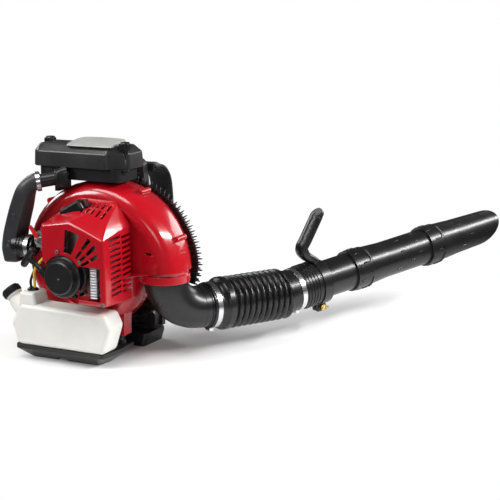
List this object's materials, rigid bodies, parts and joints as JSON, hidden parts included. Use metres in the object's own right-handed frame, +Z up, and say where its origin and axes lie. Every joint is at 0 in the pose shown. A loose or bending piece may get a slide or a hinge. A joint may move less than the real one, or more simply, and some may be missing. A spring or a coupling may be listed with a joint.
{
  "type": "backpack leaf blower",
  "caption": "Two-stroke backpack blower: ducted engine and scroll fan on a padded carrying frame, with a flexible hose, swivel tube and throttle arm.",
  "frame": {"origin": "on the floor at the middle of the base tray's underside", "axes": "+Z up; +Y towards the wearer's back, where the pad and straps are; +X to the wearer's right, where the blower tube leaves; the recoil starter faces -Y"},
  "size_m": [0.9116, 1.0057, 0.4913],
  "materials": {
    "red_gloss": "gloss",
    "red_case": "gloss",
    "black_plastic": "satin",
    "black_rough": "matte",
    "air_plate": "satin",
    "tank_white": "satin",
    "rubber_black": "matte",
    "steel": "satin",
    "alloy": "satin",
    "dark_steel": "matte",
    "brass": "satin",
    "fuel_yellow": "gloss",
    "lever_red": "gloss",
    "pad_fabric": "matte",
    "web_fabric": "matte",
    "rope_white": "matte",
    "filter_paper": "matte",
    "ceramic": "gloss"
  },
  "bodies": {
    "frame": {"base_tray": "black_rough", "back_plate": "black_rough", "back_pad": "pad_fabric", "rubber_mounts": "rubber_black", "fan_case_rear": "red_case", "fan_case_front": "red_case", "screws": "steel", "inlet_guard": "black_plastic", "crankcase": "alloy", "engine_cylinder": "alloy", "piston": "alloy", "connecting_rod": "steel", "spark_plug": "ceramic", "plug_boot": "rubber_black", "ignition_coil": "black_plastic", "muffler": "dark_steel", "muffler_guard": "steel", "engine_cover": "red_gloss", "starter_case": "black_plastic", "fuel_tank": "tank_white", "tank_grommet": "rubber_black", "fuel_hoses": "fuel_yellow", "carburettor": "alloy", "intake_insulator": "black_plastic", "intake_duct": "black_plastic", "duct_clamps": "steel", "air_cleaner_base": "black_plastic", "filter_element": "filter_paper", "air_cleaner_cover": "black_plastic", "air_cleaner_lid": "air_plate", "elbow": "black_plastic", "rear_hose_clamp": "steel", "strap_left": "web_fabric", "strap_right": "web_fabric", "strap_hardware": "black_plastic"},
    "rotor": {"impeller": "alloy", "crankshaft": "steel", "flywheel": "alloy"},
    "reel": {"starter_reel": "black_plastic"},
    "pull_grip": {"starter_grip": "black_plastic", "starter_rope": "rope_white"},
    "fuel_cap": {"fuel_cap": "black_plastic"},
    "knob_left": {"cover_knob_left": "black_plastic"},
    "knob_right": {"cover_knob_right": "black_plastic"},
    "arm": {"throttle_arm": "black_plastic", "throttle_grip": "black_plastic"},
    "trigger": {"throttle_trigger": "lever_red"},
    "stop_switch": {"stop_switch": "lever_red"},
    "choke": {"choke_lever": "lever_red"},
    "primer": {"primer_bulb": "rubber_black"},
    "carb_throttle": {"throttle_lever": "steel"},
    "hose": {"bellows_hose": "rubber_black"},
    "hose_end": {"hose_end": "black_plastic", "front_hose_clamp": "steel"},
    "tube": {"swivel_pipe": "black_plastic", "middle_pipe": "black_plastic", "nozzle": "black_plastic", "handle": "black_plastic"},
    "handle_bolt": {"handle_bolt": "brass"}
  },
  "joints": [
    {"name": "crank_spin", "type": "hinge", "parent": "frame", "child": "rotor", "pos_m": [0.026, -0.14, 0.209], "axis": [0, 1, 0], "continuous": true},
    {"name": "starter_pull", "type": "slide", "parent": "frame", "child": "pull_grip", "axis": [-0.809, 0, 0.5878], "range_m": [0, 0.75]},
    {"name": "reel_spin", "type": "hinge", "parent": "frame", "child": "reel", "pos_m": [0.026, -0.203, 0.209], "axis": [0, 1, 0], "range_deg": [0, 1600]},
    {"name": "fuel_cap_turn", "type": "hinge", "parent": "frame", "child": "fuel_cap", "pos_m": [-0.133, -0.152, 0.126], "axis": [-0.682, 0, 0.7314], "range_deg": [0, 540]},
    {"name": "knob_left_turn", "type": "hinge", "parent": "frame", "child": "knob_left", "pos_m": [-0.104, -0.048, 0.45], "axis": [0, 0, 1], "range_deg": [0, 720]},
    {"name": "knob_right_turn", "type": "hinge", "parent": "frame", "child": "knob_right", "pos_m": [0.11, -0.078, 0.45], "axis": [0, 0, 1], "range_deg": [0, 720]},
    {"name": "throttle_arm_fold", "type": "hinge", "parent": "frame", "child": "arm", "pos_m": [-0.1163, 0.071, 0.12], "axis": [1, 0, 0], "range_deg": [0, 50]},
    {"name": "throttle_trigger", "type": "hinge", "parent": "arm", "child": "trigger", "pos_m": [-0.1163, 0.28144, 0.24652], "axis": [1, 0, 0], "range_deg": [-14, 0], "stiffness_Nm_per_rad": 0.4, "springref_deg": 5.73},
    {"name": "carb_throttle", "type": "hinge", "parent": "frame", "child": "carb_throttle", "pos_m": [-0.0606, -0.14, 0.273], "axis": [0, 1, 0], "range_deg": [-70, 0]},
    {"name": "stop_switch_slide", "type": "slide", "parent": "arm", "child": "stop_switch", "axis": [0, 0.9903, 0.1392], "range_m": [0, 0.004]},
    {"name": "choke_turn", "type": "hinge", "parent": "frame", "child": "choke", "pos_m": [-0.0726, -0.14, 0.282], "axis": [0, 1, 0], "range_deg": [0, 40]},
    {"name": "primer_press", "type": "slide", "parent": "frame", "child": "primer", "axis": [0, 0, -1], "range_m": [0, 0.0025], "stiffness_N_per_m": 900, "springref_m": -0.0005},
    {"name": "hose_yaw", "type": "hinge", "parent": "frame", "child": "hose", "pos_m": [0.29575, 0.13063, 0.11], "axis": [0, 0, 1], "range_deg": [-35, 35], "deforming": ["bellows_hose"]},
    {"name": "hose_pitch", "type": "hinge", "parent": "hose", "child": "hose_end", "pos_m": [0.32903, 0.18389, 0.11], "axis": [0.848, -0.5299, 0], "range_deg": [-25, 30], "deforming": ["bellows_hose"]},
    {"name": "tube_swivel", "type": "hinge", "parent": "hose_end", "child": "tube", "pos_m": [0.39803, 0.29432, 0.12213], "axis": [0.5244, 0.8392, 0.1444], "range_deg": [-90, 90]},
    {"name": "handle_bolt_turn", "type": "hinge", "parent": "tube", "child": "handle_bolt", "pos_m": [0.41253, 0.31752, 0.06346], "axis": [0.848, -0.5299, 0], "range_deg": [0, 360]}
  ],
  "couplings": [
    {"joint": "reel_spin", "follows": "starter_pull", "rad_per_m": 36.8},
    {"joint": "carb_throttle", "follows": "throttle_trigger", "ratio": 5}
  ]
}
